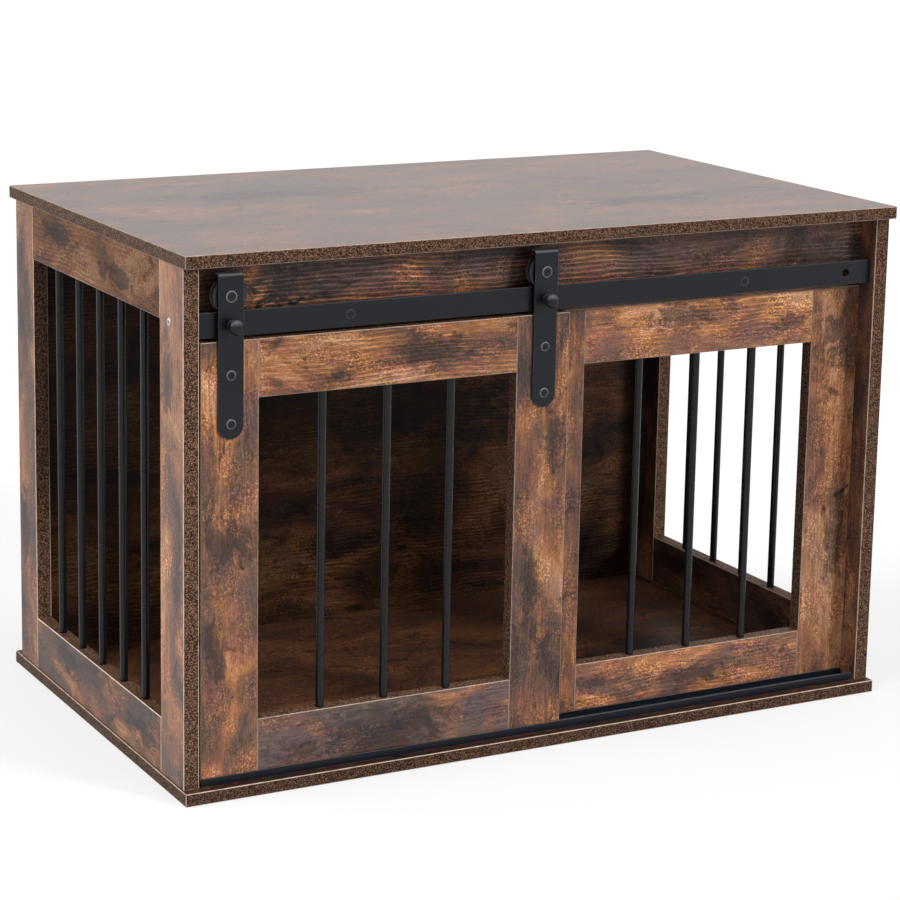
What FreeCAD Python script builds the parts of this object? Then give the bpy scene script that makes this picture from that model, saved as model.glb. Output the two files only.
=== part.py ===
import FreeCAD, Part
import math
import os
from collections import namedtuple

# Dog crate end table: a board-and-frame cabinet with steel bars and one sliding door
# that hangs from a flat rail by two strap hangers with grooved rollers.
# Millimetres. X runs along the table, -Y is the front with the door, +Z is up.
# The origin is the middle of the base board's underside, on the floor.

# Overall size
TABLE_LENGTH = 1000.0
TABLE_DEPTH = 600.0
TABLE_HEIGHT = 660.0

# Boards
TOP_THICK = 16.0
BASE_THICK = 16.0
SIDE_OVERHANG = 2.0
FRONT_OVERHANG = 12.0
REAR_OVERHANG = 20.0
BACK_THICK = 16.0
APRON_THICK = 20.0
ARRIS = 0.9

# Side frames
FRAME_THICK = 20.0
FRONT_STILE = 70.0
REAR_STILE = 64.0
SIDE_TOP_RAIL = 70.0
SIDE_BOTTOM_RAIL = 70.0
SIDE_BARS = 5

# Fixed front panel
PANEL_WIDTH = 494.0
PANEL_THICK = 20.0
PANEL_STILE = 74.0
PANEL_TOP_RAIL = 70.0
PANEL_BOTTOM_RAIL = 70.0
PANEL_BARS = 3

# Sliding door
DOOR_THICK = 20.0
DOOR_STILE = 74.0
DOOR_TOP_RAIL = 70.0
DOOR_BOTTOM_RAIL = 70.0
DOOR_BARS = 3
DOOR_INSET = 5.0           # face behind the side frames' front edges
DOOR_TO_PANEL = 5.5        # gap between the door's back and the fixed panel
DOOR_OVERLAP = 36.0        # over the fixed panel's stile when shut
DOOR_SIDE_GAP = 4.0        # to the left side frame when shut
DOOR_END_GAP = 3.0         # to the right side frame when open
DOOR_LIFT = 2.5            # above the track's floor

# Round bars, let into the rails of every frame
BAR_DIA = 10.0
BAR_SINK = 12.0

# Hanging rail and its fixings
RAIL_HEIGHT = 30.0
RAIL_THICK = 5.0
RAIL_END_GAP = 1.0
RAIL_TO_DOOR = 4.0
APRON_BELOW_RAIL = 8.0
RAIL_BOLT_SPACING = 560.0
RAIL_BOLT_DIA = 6.0
RAIL_HEAD_DIA = 12.0
RAIL_HEAD = 2.2
RAIL_NUT = 5.0
RAIL_NUT_FLATS = 10.0
RAIL_BOLT_SHOWS = 1.5      # past its nut
SPACER_DIA = 16.0
LOCK_HOLE_DIA = 11.5

# Strap hangers
STRAP_WIDTH = 32.0
STRAP_THICK = 3.0
STRAP_LIP = 16.0           # top bent back over the roller
STRAP_BEND = 3.6           # outside radius of the bend
STRAP_EDGE = 0.4
STRAP_SCREW_DROP = 40.0    # upper screw below the door's top
STRAP_SCREW_PITCH = 58.0
STRAP_END = 18.0           # below the lower screw
HEADROOM = 11.0            # strap top below the table top
STRAP_BOLT_DIA = 6.0
STRAP_HEAD_DIA = 12.0
STRAP_HEAD = 3.3
SLEEVE_DIA = 8.0
SLEEVE_LENGTH = 14.0
SLEEVE_HEAD_DIA = 12.0
SLEEVE_HEAD = 1.2
SLEEVE_WEB = 2.0           # closed end under the head of a sleeve nut

# Rollers
ROLLER_WIDTH = 12.0
ROLLER_TREAD_DIA = 37.4
ROLLER_FLANGE = 2.8        # flange above the tread
ROLLER_FLARE = 0.8         # outward slope of the groove's walls
ROLLER_ROUND = 1.0
ROLLER_DISH = 1.2          # recess in each side
ROLLER_RIM = 4.0           # rim outside the recess
ROLLER_HUB = 3.5           # hub wall inside the recess
ROLLER_TO_LIP = 1.5
AXLE_DIA = 8.0
AXLE_HEAD_DIA = 14.0
AXLE_HEAD = 4.0
AXLE_NUT = 6.5
AXLE_NUT_FLATS = 13.0
AXLE_SHOWS = 0.9
BUSH_WALL = 2.0
WASHER = 0.5
WASHER_DIA = 16.0

# Lock knobs, screwed through the straps towards the rail
KNOB_DIA = 17.5
KNOB_CROWN = 6.0
KNOB_BAND = 2.0
KNOB_ROUND = 1.2
KNOB_NECK_DIA = 8.0
KNOB_NECK = 7.5
KNOB_COLLAR_DIA = 14.0
KNOB_COLLAR = 2.5
LOCK_SHANK_DIA = 6.0
LOCK_SHOWS = 1.0           # shank behind the strap when backed off

# Bottom track
TRACK_WALL = 1.5
TRACK_HEIGHT = 10.0
TRACK_END_GAP = 4.0
TRACK_SIDE_CLEAR = 1.2
TRACK_SCREWS = 3
TRACK_SCREW_END = 60.0
TRACK_SCREW_DIA = 3.5
TRACK_SCREW_HEAD_DIA = 7.0
TRACK_SCREW_HEAD = 1.4
TRACK_SCREW_LENGTH = 13.0

# Dowels
DOWEL_DIA = 8.0
DOWEL_LENGTH = 30.0
DOWEL_PITCH = 36.0
BACK_DOWELS = 3
BACK_DOWEL_END = 100.0
APRON_DOWEL_RISE = 68.0    # above the apron's lower edge

# Cam fasteners between the side frames and the two boards
CAM_DIA = 15.0
CAM_DEPTH = 14.0
CAM_SETBACK = 24.0         # board face to the cam's axis
CAM_BOLT_DIA = 6.0
CAM_BOLT_BITE = 11.0       # inside the board
CAM_BOLT_PAST = 3.0        # past the cam's axis
CAM_END = 90.0             # from each end of the rail
CAM_SLOT_WIDTH = 1.6
CAM_SLOT_LENGTH = 9.0
CAM_SLOT_DEPTH = 1.5

# Connector bolts through the front stiles, with barrel nuts
CONNECTOR_DIA = 6.0
CONNECTOR_LENGTH = 50.0
CONNECTOR_HEAD_DIA = 10.0
CONNECTOR_HEAD = 1.4
CONNECTOR_SHOWS = 4.0      # past the barrel nut
CONNECTOR_RISE = 25.0      # above the apron's lower edge
CONNECTOR_END = 110.0      # from the fixed panel's top and bottom
BARREL_DIA = 10.0
BARREL_LENGTH = 14.0

# Screws up through the base board
BASE_SCREW_DIA = 4.5
BASE_SCREW_LENGTH = 38.0
BASE_SCREW_HEAD_DIA = 8.4
BASE_SCREW_HEAD = 2.5
BASE_SCREW_RECESS = 0.5
BACK_SCREW_SPACING = 600.0

# Hexagon sockets
CONNECTOR_SOCKET = 4.0
BOLT_SOCKET = 5.0
AXLE_SOCKET = 6.0
SOCKET_DEPTH = 1.5

# Clearances
BAR_CLEAR = 0.1            # on the radius
FIXED_CLEAR = 0.1          # fixed pins, bolts and dowels, on the radius
RUN_CLEAR = 0.05           # running fits, on the radius
MOVE_CLEAR = 0.3           # between pieces that pass each other
END_CLEAR = 0.3            # at the ends of pins in blind holes
HEX_SIDES = 6
EXTRA = 1.0                # cutting tools run past the faces they cut

X_AXIS = FreeCAD.Vector(1, 0, 0)
Y_AXIS = FreeCAD.Vector(0, 1, 0)
Z_AXIS = FreeCAD.Vector(0, 0, 1)
FORWARD = FreeCAD.Vector(0, -1, 0)
DOWNWARD = FreeCAD.Vector(0, 0, -1)

# Levels
BASE_TOP = BASE_THICK
TOP_UNDER = TABLE_HEIGHT - TOP_THICK
STRAP_TOP = TOP_UNDER - HEADROOM
ROLLER_RADIUS = ROLLER_TREAD_DIA / 2 + ROLLER_FLANGE
AXLE_Z = STRAP_TOP - STRAP_THICK - ROLLER_TO_LIP - ROLLER_RADIUS
RAIL_TOP = AXLE_Z - ROLLER_TREAD_DIA / 2 - MOVE_CLEAR
RAIL_LOW = RAIL_TOP - RAIL_HEIGHT
RAIL_MID = (RAIL_TOP + RAIL_LOW) / 2
APRON_LOW = RAIL_LOW - APRON_BELOW_RAIL
DOOR_TOP = RAIL_LOW - RAIL_TO_DOOR
DOOR_LOW = BASE_TOP + TRACK_WALL + DOOR_LIFT
STRAP_SCREW_LEVELS = (DOOR_TOP - STRAP_SCREW_DROP, DOOR_TOP - STRAP_SCREW_DROP - STRAP_SCREW_PITCH)
STRAP_LOW = STRAP_SCREW_LEVELS[1] - STRAP_END

# Front to back
FRAME_FRONT = -TABLE_DEPTH / 2 + FRONT_OVERHANG
FRAME_REAR = TABLE_DEPTH / 2 - REAR_OVERHANG
DOOR_FRONT = FRAME_FRONT + DOOR_INSET
DOOR_BACK = DOOR_FRONT + DOOR_THICK
PANEL_FRONT = DOOR_BACK + DOOR_TO_PANEL
PANEL_MID = PANEL_FRONT + PANEL_THICK / 2
APRON_BACK = PANEL_FRONT + APRON_THICK
APRON_MID = PANEL_FRONT + APRON_THICK / 2
BACK_MID = FRAME_REAR - BACK_THICK / 2
STRAP_FRONT = DOOR_FRONT - STRAP_THICK
BUSH_LENGTH = ROLLER_WIDTH + 2 * MOVE_CLEAR
ROLLER_MID = DOOR_FRONT + WASHER + BUSH_LENGTH / 2
RAIL_FRONT = ROLLER_MID - RAIL_THICK / 2
RAIL_BACK = ROLLER_MID + RAIL_THICK / 2
LOCK_TRAVEL = RAIL_FRONT - DOOR_FRONT - LOCK_SHOWS - MOVE_CLEAR
TRACK_FRONT = DOOR_FRONT - TRACK_SIDE_CLEAR - TRACK_WALL
TRACK_BACK = DOOR_BACK + TRACK_SIDE_CLEAR + TRACK_WALL
TRACK_MID = (TRACK_FRONT + TRACK_BACK) / 2

# Left to right
SIDE_OUTER = TABLE_LENGTH / 2 - SIDE_OVERHANG
SIDE_INNER = SIDE_OUTER - FRAME_THICK
PANEL_LEFT = SIDE_INNER - PANEL_WIDTH
DOOR_LEFT = -SIDE_INNER + DOOR_SIDE_GAP
DOOR_RIGHT = PANEL_LEFT + DOOR_OVERLAP
DOOR_TRAVEL = SIDE_INNER - DOOR_END_GAP - DOOR_RIGHT
STRAP_PLACES = {"left": DOOR_LEFT + DOOR_STILE / 2, "right": DOOR_RIGHT - DOOR_STILE / 2}
LOCK_HOLE_PLACES = (STRAP_PLACES["left"], STRAP_PLACES["right"] + DOOR_TRAVEL)
RAIL_BOLT_PLACES = (-RAIL_BOLT_SPACING / 2, RAIL_BOLT_SPACING / 2)

# Repeated places
SIDE_FACES = {"left": -1, "right": 1}
CAM_PLACES = (FRAME_FRONT + FRONT_STILE + CAM_END, FRAME_REAR - REAR_STILE - CAM_END)
BACK_DOWEL_STEP = (TOP_UNDER - BASE_TOP - 2 * BACK_DOWEL_END) / (BACK_DOWELS - 1)
BACK_DOWEL_LEVELS = [BASE_TOP + BACK_DOWEL_END + i * BACK_DOWEL_STEP for i in range(BACK_DOWELS)]
APRON_DOWEL_Z = APRON_LOW + APRON_DOWEL_RISE
APRON_BOLT_Z = APRON_LOW + CONNECTOR_RISE
PANEL_BOLT_LEVELS = (BASE_TOP + CONNECTOR_END, APRON_LOW - CONNECTOR_END)
PANEL_STILE_MIDS = (PANEL_LEFT + PANEL_STILE / 2, SIDE_INNER - PANEL_STILE / 2)
BACK_SCREW_PLACES = (-BACK_SCREW_SPACING / 2, BACK_SCREW_SPACING / 2)
BASE_SCREW_PLACES = [(x, PANEL_MID) for x in PANEL_STILE_MIDS] + [(x, BACK_MID) for x in BACK_SCREW_PLACES]
TRACK_SCREW_STEP = 2 * (SIDE_INNER - TRACK_SCREW_END) / (TRACK_SCREWS - 1)
TRACK_SCREW_PLACES = [-SIDE_INNER + TRACK_SCREW_END + i * TRACK_SCREW_STEP for i in range(TRACK_SCREWS)]

FrameSize = namedtuple("FrameSize", "width height thick first_stile second_stile top_rail bottom_rail bars")

SIDE_FRAME = FrameSize(FRAME_REAR - FRAME_FRONT, TOP_UNDER - BASE_TOP, FRAME_THICK,
                       FRONT_STILE, REAR_STILE, SIDE_TOP_RAIL, SIDE_BOTTOM_RAIL, SIDE_BARS)
PANEL_FRAME = FrameSize(PANEL_WIDTH, APRON_LOW - BASE_TOP, PANEL_THICK,
                        PANEL_STILE, PANEL_STILE, PANEL_TOP_RAIL, PANEL_BOTTOM_RAIL, PANEL_BARS)
DOOR_FRAME = FrameSize(DOOR_RIGHT - DOOR_LEFT, DOOR_TOP - DOOR_LOW, DOOR_THICK,
                       DOOR_STILE, DOOR_STILE, DOOR_TOP_RAIL, DOOR_BOTTOM_RAIL, DOOR_BARS)


def block(x, y, z):
    """Sharp block between the low and high values of x, y and z."""
    return Part.makeBox(x[1] - x[0], y[1] - y[0], z[1] - z[0], FreeCAD.Vector(x[0], y[0], z[0]))


def board(x, y, z, arris=ARRIS):
    """Block with every edge broken by a small chamfer."""
    solid = block(x, y, z)
    return solid.makeChamfer(arris, solid.Edges)


def rod(start, along, dia, length, clear=0.0):
    """Cylinder from a point along a direction; clear widens it on the radius, for its hole."""
    return Part.makeCylinder(dia / 2 + clear, length, FreeCAD.Vector(*start), along)


def drilled(solid, holes):
    """Solid with a list of holes cut from it."""
    return solid.cut(holes)


def placed(shape, corner, turn=0.0):
    """Shape turned about Z by turn degrees, then moved so that its origin is at corner."""
    moved = shape.copy()
    moved.Placement = FreeCAD.Placement(FreeCAD.Vector(*corner), FreeCAD.Rotation(Z_AXIS, turn))
    return moved


def pointed(shape, seat, outward):
    """Shape whose local +Z is turned to point outward, with its local origin at seat."""
    moved = shape.copy()
    moved.Placement = FreeCAD.Placement(FreeCAD.Vector(*seat), FreeCAD.Rotation(Z_AXIS, outward))
    return moved


def hexagon(flats, low, height):
    """Six-sided prism about local Z, from low upwards."""
    reach = flats / 2 / math.cos(math.pi / HEX_SIDES)
    angles = [2 * math.pi * i / HEX_SIDES for i in range(HEX_SIDES + 1)]
    corners = [FreeCAD.Vector(reach * math.cos(a), reach * math.sin(a), low) for a in angles]
    return Part.Face(Part.makePolygon(corners)).extrude(Z_AXIS * height)


def turned(edges):
    """Solid of revolution about local Z from a closed run of edges in the XZ plane."""
    return Part.Face(Part.Wire(edges)).revolve(FreeCAD.Vector(0, 0, 0), Z_AXIS, 360)


def profile_point(radius, level):
    """Point of a turned profile."""
    return FreeCAD.Vector(radius, 0, level)


def run(*points):
    """Straight edges through profile points given as (radius, level)."""
    places = [profile_point(*p) for p in points]
    return [Part.LineSegment(a, b).toShape() for a, b in zip(places, places[1:])]


def corner_round(start, middle, end):
    """Arc edge through three profile points."""
    return Part.Arc(profile_point(*start), profile_point(*middle), profile_point(*end)).toShape()


def crown(radius, low, top):
    """Arc edge of a shallow dome from its rim up to its middle."""
    rise = top - low
    sphere = (radius ** 2 + rise ** 2) / (2 * rise)
    half = radius / 2
    return corner_round((radius, low), (half, top - sphere + (sphere ** 2 - half ** 2) ** 0.5), (0, top))


def button_bolt(head_dia, head, dia, length, socket):
    """Domed bolt: seat at local z = 0, head above it with a hexagon socket, shank below."""
    rim = head / 4
    edges = run((0, -length), (dia / 2, -length), (dia / 2, 0), (head_dia / 2, 0), (head_dia / 2, rim))
    edges.append(crown(head_dia / 2, rim, head))
    edges += run((0, head), (0, -length))
    return turned(edges).cut(hexagon(socket, head - SOCKET_DEPTH, SOCKET_DEPTH + EXTRA))


def flat_bolt(head_dia, head, dia, length, socket):
    """Thin disc-headed bolt: seat at local z = 0, head above it with a hexagon socket, shank below."""
    edges = run((0, -length), (dia / 2, -length), (dia / 2, 0), (head_dia / 2, 0),
                (head_dia / 2, head / 2), (head_dia / 2 - head / 2, head), (0, head), (0, -length))
    return turned(edges).cut(hexagon(socket, head - SOCKET_DEPTH, SOCKET_DEPTH + EXTRA))


def nut(flats, height, bore, low=0.0):
    """Hexagon nut about local Z with a plain bore."""
    return hexagon(flats, low, height).cut(rod((0, 0, low - EXTRA), Z_AXIS, bore, height + 2 * EXTRA, RUN_CLEAR))


def ring(outer, bore, clear, start, along, length):
    """Tube or washer round a pin of diameter bore."""
    return rod(start, along, outer, length).cut(rod(start, along, bore, length, clear))


# Frames of two stiles, two rails and round bars. Each is made in its own corner frame:
# width along X, thickness along Y, height along Z.

def bar_places(size):
    """X of each bar, evenly dividing the opening."""
    pitch = (size.width - size.first_stile - size.second_stile) / (size.bars + 1)
    return [size.first_stile + pitch * (i + 1) for i in range(size.bars)]


def frame_bars(size, clear=0.0, top_clear=0.0):
    """The round bars, or with clearances the holes for them."""
    low = size.bottom_rail - BAR_SINK
    length = size.height - size.top_rail + BAR_SINK + top_clear - low
    return [rod((x, size.thick / 2, low), Z_AXIS, BAR_DIA, length, clear) for x in bar_places(size)]


def frame_dowels(size, clear=0.0, end_clear=0.0):
    """Two dowels across each joint of stile and rail, or with clearances their holes."""
    dowels = []
    for rail_mid in (size.bottom_rail / 2, size.height - size.top_rail / 2):
        for seam in (size.first_stile, size.width - size.second_stile):
            for rise in (-DOWEL_PITCH / 2, DOWEL_PITCH / 2):
                start = (seam - DOWEL_LENGTH / 2 - end_clear, size.thick / 2, rail_mid + rise)
                dowels.append(rod(start, X_AXIS, DOWEL_DIA, DOWEL_LENGTH + 2 * end_clear, clear))
    return dowels


def frame_members(size):
    """The two stiles and two rails, drilled for bars and dowels."""
    thick = (0, size.thick)
    between = (size.first_stile, size.width - size.second_stile)
    members = {
        "first_stile": board((0, size.first_stile), thick, (0, size.height)),
        "second_stile": board((between[1], size.width), thick, (0, size.height)),
        "top_rail": board(between, thick, (size.height - size.top_rail, size.height)),
        "bottom_rail": board(between, thick, (0, size.bottom_rail)),
    }
    holes = frame_dowels(size, FIXED_CLEAR, END_CLEAR)
    bars = frame_bars(size, BAR_CLEAR, END_CLEAR)
    for name, member in members.items():
        cuts = holes + bars if name.endswith("rail") else holes
        members[name] = drilled(member, cuts)
    return members


def place_frame(size, corner, turn=0.0):
    """Members, bars and dowels of a frame, moved to its place in the table."""
    members = {name: placed(member, corner, turn) for name, member in frame_members(size).items()}
    bars = [placed(bar, corner, turn) for bar in frame_bars(size)]
    dowels = [placed(dowel, corner, turn) for dowel in frame_dowels(size)]
    return members, bars, dowels


# Fasteners of the cabinet

def cam_sites():
    """Each cam fastener: side sign, Y of its bolt, board face level, way from the board into the frame."""
    return [(side, y, level, into) for side in SIDE_FACES.values() for y in CAM_PLACES
            for level, into in ((BASE_TOP, 1), (TOP_UNDER, -1))]


def cam_bolt(site, clear=0.0, end_clear=0.0):
    """Pin from inside the board to just past the cam's axis, or with clearances its hole."""
    side, y, level, into = site
    start = (side * (SIDE_INNER + FRAME_THICK / 2), y, level - into * (CAM_BOLT_BITE + end_clear))
    length = CAM_BOLT_BITE + CAM_SETBACK + CAM_BOLT_PAST + 2 * end_clear
    return rod(start, Z_AXIS * into, CAM_BOLT_DIA, length, clear)


def cam_pocket(site, clear=0.0):
    """Round space for a cam, let into the frame's inner face."""
    side, y, level, into = site
    start = (side * SIDE_INNER, y, level + into * CAM_SETBACK)
    return rod(start, X_AXIS * side, CAM_DIA, CAM_DEPTH + clear, clear)


def cam_lock(site):
    """Cam disc with the bolt's way in and a cross slot in its face."""
    side, y, level, into = site
    axis_z = level + into * CAM_SETBACK
    face = side * SIDE_INNER
    depth = sorted((face, face + side * CAM_SLOT_DEPTH))
    long = CAM_SLOT_LENGTH / 2
    short = CAM_SLOT_WIDTH / 2
    slots = [block(depth, (y - a, y + a), (axis_z - b, axis_z + b)) for a, b in ((long, short), (short, long))]
    return drilled(cam_pocket(site), slots + [cam_bolt(site, FIXED_CLEAR, END_CLEAR)])


def connector_sites():
    """Each connector bolt: side sign, Y and Z of its axis, and the back face its barrel nut enters from."""
    apron = [(side, APRON_MID, APRON_BOLT_Z, APRON_BACK) for side in SIDE_FACES.values()]
    panel = [(1, PANEL_MID, z, PANEL_FRONT + PANEL_THICK) for z in PANEL_BOLT_LEVELS]
    return apron, panel


def connector_bolt(site):
    """Thin-headed bolt from a side frame's outer face inwards."""
    side, y, z, _ = site
    bolt = flat_bolt(CONNECTOR_HEAD_DIA, CONNECTOR_HEAD, CONNECTOR_DIA, CONNECTOR_LENGTH, CONNECTOR_SOCKET)
    return pointed(bolt, (side * SIDE_OUTER, y, z), X_AXIS * side)


def connector_hole(site):
    """Hole for a connector bolt's shank."""
    side, y, z, _ = site
    start = (side * (SIDE_OUTER + EXTRA), y, z)
    return rod(start, X_AXIS * -side, CONNECTOR_DIA, CONNECTOR_LENGTH + EXTRA + END_CLEAR, FIXED_CLEAR)


def barrel_place(site):
    """Point on the axis of a barrel nut, at its front end."""
    side, y, z, _ = site
    return side * (SIDE_OUTER - CONNECTOR_LENGTH + CONNECTOR_SHOWS + BARREL_DIA / 2), y - BARREL_LENGTH / 2, z


def barrel_nut(site):
    """Cross cylinder bored for the connector bolt that screws into it."""
    return drilled(rod(barrel_place(site), Y_AXIS, BARREL_DIA, BARREL_LENGTH), [connector_hole(site)])


def barrel_pocket(site):
    """Pocket for a barrel nut, open at the back face."""
    x, y, z = barrel_place(site)
    return rod((x, y - END_CLEAR, z), Y_AXIS, BARREL_DIA, site[3] + EXTRA + END_CLEAR - y, FIXED_CLEAR)


def connector_cuts():
    """Holes for every connector bolt and pockets for its barrel nut."""
    apron, panel = connector_sites()
    return [cut(site) for site in apron + panel for cut in (connector_hole, barrel_pocket)]


def cross_dowels(clear=0.0, end_clear=0.0):
    """Dowels from the side frames into the back panel's edges and the apron's ends."""
    back = [(BACK_MID, z) for z in BACK_DOWEL_LEVELS]
    dowels = {"back": [], "apron": []}
    for kind, places in (("back", back), ("apron", [(APRON_MID, APRON_DOWEL_Z)])):
        for side in SIDE_FACES.values():
            reach = DOWEL_LENGTH / 2 + end_clear
            for y, z in places:
                start = (side * SIDE_INNER - reach, y, z)
                dowels[kind].append(rod(start, X_AXIS, DOWEL_DIA, 2 * reach, clear))
    return dowels


def panel_top_dowels(clear=0.0, end_clear=0.0):
    """Upright dowels between the fixed panel's stiles and the apron."""
    reach = DOWEL_LENGTH / 2 + end_clear
    return [rod((x, PANEL_MID, APRON_LOW - reach), Z_AXIS, DOWEL_DIA, 2 * reach, clear) for x in PANEL_STILE_MIDS]


def base_screw(x, y):
    """Flat-headed screw up through the base board."""
    screw = rod((x, y, BASE_SCREW_RECESS), Z_AXIS, BASE_SCREW_HEAD_DIA, BASE_SCREW_HEAD)
    return screw.fuse(rod((x, y, BASE_SCREW_RECESS), Z_AXIS, BASE_SCREW_DIA, BASE_SCREW_LENGTH))


def base_screw_holes():
    """Counterbored holes for the base screws, through the board and up into what stands on it."""
    holes = []
    for x, y in BASE_SCREW_PLACES:
        mouth = BASE_SCREW_RECESS + BASE_SCREW_HEAD
        holes.append(rod((x, y, -EXTRA), Z_AXIS, BASE_SCREW_HEAD_DIA, mouth + EXTRA, FIXED_CLEAR))
        holes.append(rod((x, y, 0), Z_AXIS, BASE_SCREW_DIA,
                         BASE_SCREW_RECESS + BASE_SCREW_LENGTH + END_CLEAR, FIXED_CLEAR))
    return holes


def track_screw(x):
    """Pan-headed screw through the track's floor into the base board."""
    top = BASE_TOP + TRACK_WALL
    head = rod((x, TRACK_MID, top), Z_AXIS, TRACK_SCREW_HEAD_DIA, TRACK_SCREW_HEAD)
    return head.fuse(rod((x, TRACK_MID, top), DOWNWARD, TRACK_SCREW_DIA, TRACK_SCREW_LENGTH))


def track_screw_holes():
    """Holes for the track screws in the track and the base board."""
    top = BASE_TOP + TRACK_WALL + EXTRA
    length = TRACK_SCREW_LENGTH + EXTRA + END_CLEAR
    return [rod((x, TRACK_MID, top), DOWNWARD, TRACK_SCREW_DIA, length, FIXED_CLEAR) for x in TRACK_SCREW_PLACES]


# Boards of the cabinet

def top_board():
    """Table top, drilled below for the cam bolts."""
    solid = board((-TABLE_LENGTH / 2, TABLE_LENGTH / 2), (-TABLE_DEPTH / 2, TABLE_DEPTH / 2), (TOP_UNDER, TABLE_HEIGHT))
    return drilled(solid, [cam_bolt(site, FIXED_CLEAR, END_CLEAR) for site in cam_sites()])


def base_board():
    """Floor of the crate, drilled for cam bolts, base screws and track screws."""
    solid = board((-TABLE_LENGTH / 2, TABLE_LENGTH / 2), (-TABLE_DEPTH / 2, TABLE_DEPTH / 2), (0, BASE_TOP))
    holes = [cam_bolt(site, FIXED_CLEAR, END_CLEAR) for site in cam_sites()]
    return drilled(solid, holes + base_screw_holes() + track_screw_holes())


def back_panel():
    """Solid back between the side frames."""
    solid = board((-SIDE_INNER, SIDE_INNER), (FRAME_REAR - BACK_THICK, FRAME_REAR), (BASE_TOP, TOP_UNDER))
    return drilled(solid, cross_dowels(FIXED_CLEAR, END_CLEAR)["back"] + base_screw_holes())


def apron_board():
    """Board across the front under the table top, which carries the hanging rail."""
    solid = board((-SIDE_INNER, SIDE_INNER), (PANEL_FRONT, APRON_BACK), (APRON_LOW, TOP_UNDER))
    bolts = [rod((x, PANEL_FRONT - EXTRA, RAIL_MID), Y_AXIS, RAIL_BOLT_DIA, APRON_THICK + 2 * EXTRA, FIXED_CLEAR)
             for x in RAIL_BOLT_PLACES]
    dowels = cross_dowels(FIXED_CLEAR, END_CLEAR)["apron"] + panel_top_dowels(FIXED_CLEAR, END_CLEAR)
    return drilled(solid, bolts + dowels + connector_cuts())


def side_frames():
    """Both side frames: node name to solid or list of solids, and all their dowels."""
    parts = {}
    all_dowels = []
    cross = cross_dowels(FIXED_CLEAR, END_CLEAR)
    cams = [cam_pocket(site, FIXED_CLEAR) for site in cam_sites()]
    cams += [cam_bolt(site, FIXED_CLEAR, END_CLEAR) for site in cam_sites()]
    for name, side in SIDE_FACES.items():
        face = -SIDE_INNER if side < 0 else SIDE_OUTER
        members, bars, dowels = place_frame(SIDE_FRAME, (face, FRAME_FRONT, BASE_TOP), 90)
        parts[name + "_front_stile"] = drilled(members["first_stile"], cross["apron"] + connector_cuts())
        parts[name + "_rear_stile"] = drilled(members["second_stile"], cross["back"])
        parts[name + "_top_rail"] = drilled(members["top_rail"], cams)
        parts[name + "_bottom_rail"] = drilled(members["bottom_rail"], cams)
        parts[name + "_side_bars"] = bars
        all_dowels += dowels
    parts["side_frame_dowels"] = all_dowels
    return parts


def fixed_panel():
    """Barred panel that closes the right half of the front."""
    members, bars, dowels = place_frame(PANEL_FRAME, (PANEL_LEFT, PANEL_FRONT, BASE_TOP))
    cuts = panel_top_dowels(FIXED_CLEAR, END_CLEAR) + base_screw_holes()
    return {
        "panel_left_stile": drilled(members["first_stile"], cuts),
        "panel_right_stile": drilled(members["second_stile"], cuts + connector_cuts()),
        "panel_top_rail": members["top_rail"],
        "panel_bottom_rail": members["bottom_rail"],
        "panel_bars": bars,
        "panel_dowels": dowels + panel_top_dowels(),
    }


def bottom_track():
    """U channel on the base board that the door's foot runs in."""
    reach = SIDE_INNER - TRACK_END_GAP
    ends = (-reach, reach)
    channel = block(ends, (TRACK_FRONT, TRACK_BACK), (BASE_TOP, BASE_TOP + TRACK_HEIGHT))
    inside = block(ends, (TRACK_FRONT + TRACK_WALL, TRACK_BACK - TRACK_WALL),
                   (BASE_TOP + TRACK_WALL, BASE_TOP + TRACK_HEIGHT + EXTRA))
    return drilled(channel, [inside] + track_screw_holes())


# Hanging rail

def hanging_rail():
    """Flat bar with two bolt holes and a lock hole at each end of the door's travel."""
    reach = SIDE_INNER - RAIL_END_GAP
    bar = board((-reach, reach), (RAIL_FRONT, RAIL_BACK), (RAIL_LOW, RAIL_TOP), STRAP_EDGE)
    start = RAIL_FRONT - EXTRA
    length = RAIL_THICK + 2 * EXTRA
    bolts = [rod((x, start, RAIL_MID), Y_AXIS, RAIL_BOLT_DIA, length, FIXED_CLEAR) for x in RAIL_BOLT_PLACES]
    locks = [rod((x, start, RAIL_MID), Y_AXIS, LOCK_HOLE_DIA, length) for x in LOCK_HOLE_PLACES]
    return drilled(bar, bolts + locks)


def rail_spacers():
    """Tubes that hold the rail off the apron."""
    length = PANEL_FRONT - RAIL_BACK
    return [ring(SPACER_DIA, RAIL_BOLT_DIA, FIXED_CLEAR, (x, RAIL_BACK, RAIL_MID), Y_AXIS, length)
            for x in RAIL_BOLT_PLACES]


def rail_bolts():
    """Domed bolts through the rail, spacer and apron."""
    length = APRON_BACK + RAIL_NUT + RAIL_BOLT_SHOWS - RAIL_FRONT
    bolt = button_bolt(RAIL_HEAD_DIA, RAIL_HEAD, RAIL_BOLT_DIA, length, BOLT_SOCKET)
    return [pointed(bolt, (x, RAIL_FRONT, RAIL_MID), FORWARD) for x in RAIL_BOLT_PLACES]


def rail_nuts():
    """Nuts behind the apron."""
    return [pointed(nut(RAIL_NUT_FLATS, RAIL_NUT, RAIL_BOLT_DIA), (x, APRON_BACK, RAIL_MID), Y_AXIS)
            for x in RAIL_BOLT_PLACES]


# Door and its hangers

def strap_bolt_sites():
    """X and Z of every bolt that holds a strap to the door."""
    return [(x, z) for x in STRAP_PLACES.values() for z in STRAP_SCREW_LEVELS]


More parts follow.
